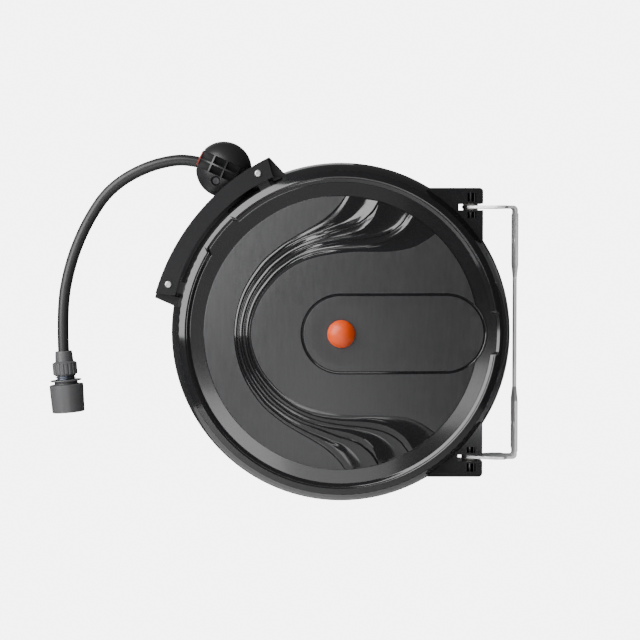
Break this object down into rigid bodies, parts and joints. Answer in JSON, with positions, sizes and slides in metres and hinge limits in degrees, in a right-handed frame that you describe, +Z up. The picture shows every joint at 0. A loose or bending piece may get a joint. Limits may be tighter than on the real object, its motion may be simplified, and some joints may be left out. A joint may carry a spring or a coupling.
{
  "type": "retractable hose reel",
  "caption": "Wall-mounted spring-retracted hose reel: round two-part case on a swivel bracket, outlet guide with rollers, stopper ball, hose and click connector.",
  "frame": {"origin": "centre of the wall bracket's four holes, on the face that lies on the wall", "axes": "+X into the wall, +Z up along the swivel pins, -Y towards the front cover; the reel turns about Y"},
  "size_m": [0.4981, 0.134, 0.3827],
  "materials": {
    "case_black": "gloss",
    "guide_black": "satin",
    "cap_orange": "satin",
    "strap_zinc": "bright zinc",
    "screw_zinc": "zinc",
    "dark_steel": "oiled",
    "spring_steel": "blued",
    "brass_parts": "machined",
    "drum_grey": "satin",
    "bush_white": "satin",
    "hose_grey": "satin",
    "seal_black": "matt",
    "ball_black": "satin",
    "collar_red": "matt",
    "connector_grey": "satin",
    "roller_grey": "satin"
  },
  "bodies": {
    "bracket": {"wall_bracket": "strap_zinc", "swivel_washers": "bush_white"},
    "case": {"front_cover": "case_black", "back_cover": "case_black", "cover_screws": "screw_zinc", "centre_cap": "cap_orange", "upper_swivel_pin": "dark_steel", "lower_swivel_pin": "dark_steel", "outlet_guide": "guide_black", "guide_bolts": "screw_zinc", "guide_nuts": "screw_zinc", "fixed_axle": "brass_parts", "axle_bolt": "screw_zinc", "axle_clip": "spring_steel", "axle_nut": "brass_parts", "inlet_elbow": "brass_parts", "pawl_pin": "dark_steel", "pawl_spring": "spring_steel", "inner_hose_lead": "hose_grey", "free_hose": "hose_grey", "stopper_front_half": "ball_black", "stopper_rear_half": "ball_black", "stopper_screws": "dark_steel", "stopper_collar": "collar_red", "clamp_nut": "connector_grey", "connector_body": "connector_grey", "connector_seal": "seal_black", "latch_balls": "screw_zinc"},
    "drum": {"drum_hub": "drum_grey", "front_flange": "drum_grey", "rear_flange": "drum_grey", "front_bush": "bush_white", "rear_bush": "bush_white", "drum_screws": "screw_zinc", "ratchet_ring": "dark_steel", "hub_union": "brass_parts", "union_seals": "seal_black", "power_spring": "spring_steel", "wound_hose": "hose_grey"},
    "pawl": {"pawl": "dark_steel"},
    "upper_roller": {"upper_roller": "roller_grey"},
    "lower_roller": {"lower_roller": "roller_grey"},
    "release_sleeve": {"release_sleeve": "connector_grey", "sleeve_spring": "spring_steel"}
  },
  "joints": [
    {"name": "case_swivel", "type": "hinge", "parent": "bracket", "child": "case", "pos_m": [-0.049, 0, 0], "axis": [0, 0, 1], "range_deg": [-75, 75]},
    {"name": "drum_spin", "type": "hinge", "parent": "case", "child": "drum", "pos_m": [-0.187, 0, 0], "axis": [0, -1, 0], "range_deg": [0, 8640], "stiffness_Nm_per_rad": 0.02, "springref_deg": -3437.75},
    {"name": "pawl_tilt", "type": "hinge", "parent": "case", "child": "pawl", "pos_m": [-0.155, 0.029, 0.06], "axis": [0, -1, 0], "range_deg": [0, 9], "stiffness_Nm_per_rad": 0.02},
    {"name": "upper_roller_spin", "type": "hinge", "parent": "case", "child": "upper_roller", "pos_m": [-0.2741, 0, 0.1676], "axis": [0, -1, 0], "continuous": true},
    {"name": "lower_roller_spin", "type": "hinge", "parent": "case", "child": "lower_roller", "pos_m": [-0.3684, 0, 0.0515], "axis": [0, -1, 0], "continuous": true},
    {"name": "sleeve_slide", "type": "slide", "parent": "case", "child": "release_sleeve", "axis": [-0.0779, 0, 0.997], "range_m": [0, 0.004], "stiffness_N_per_m": 800, "springref_m": -0.004, "deforming": ["sleeve_spring"]}
  ]
}
